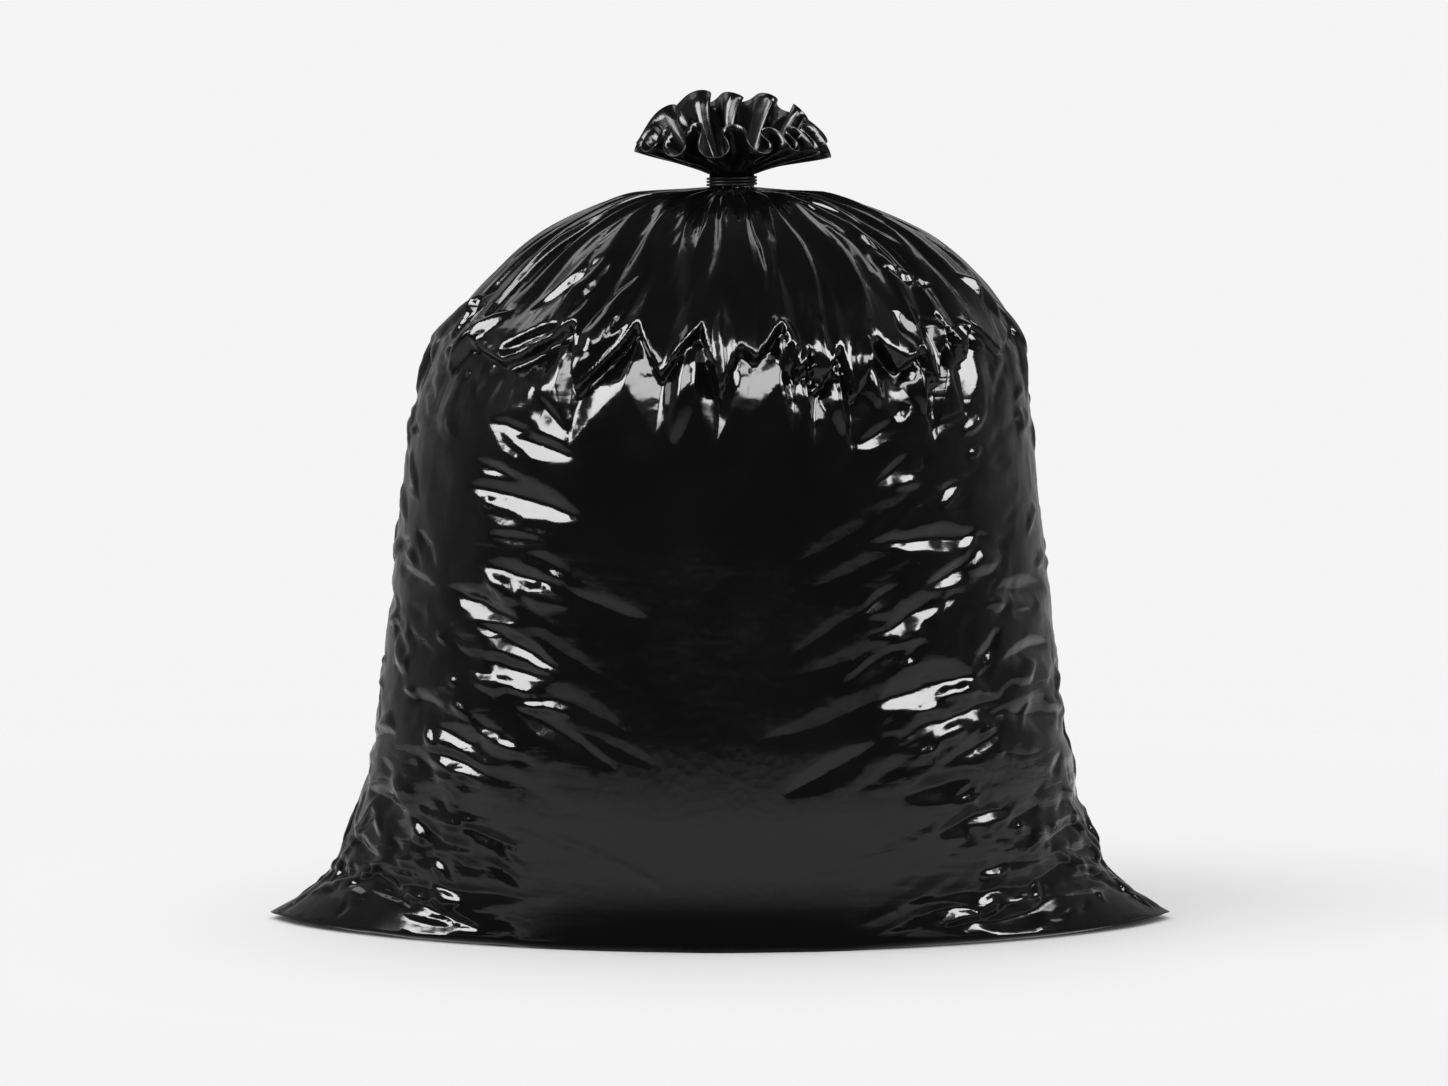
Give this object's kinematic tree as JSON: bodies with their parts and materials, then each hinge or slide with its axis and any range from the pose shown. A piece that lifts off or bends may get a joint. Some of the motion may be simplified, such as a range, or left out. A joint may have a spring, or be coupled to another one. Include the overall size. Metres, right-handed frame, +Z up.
{
  "type": "full bin bag",
  "caption": "Full black film bin bag with two bottom corners, its gathered mouth tied by a wound elastic band under a ruffled frill.",
  "frame": {"origin": "middle of the bag's footprint box, on the floor", "axes": "+Z up; X along the bottom seal from corner to corner; the pictured front faces -Y"},
  "size_m": [0.7, 0.4044, 0.6443],
  "materials": {
    "film": "glossy thin polythene film, finely crinkled",
    "elastic": "satin black elastic"
  },
  "bodies": {
    "root": {"bin_bag": "film", "neck_band": "elastic"}
  },
  "joints": []
}
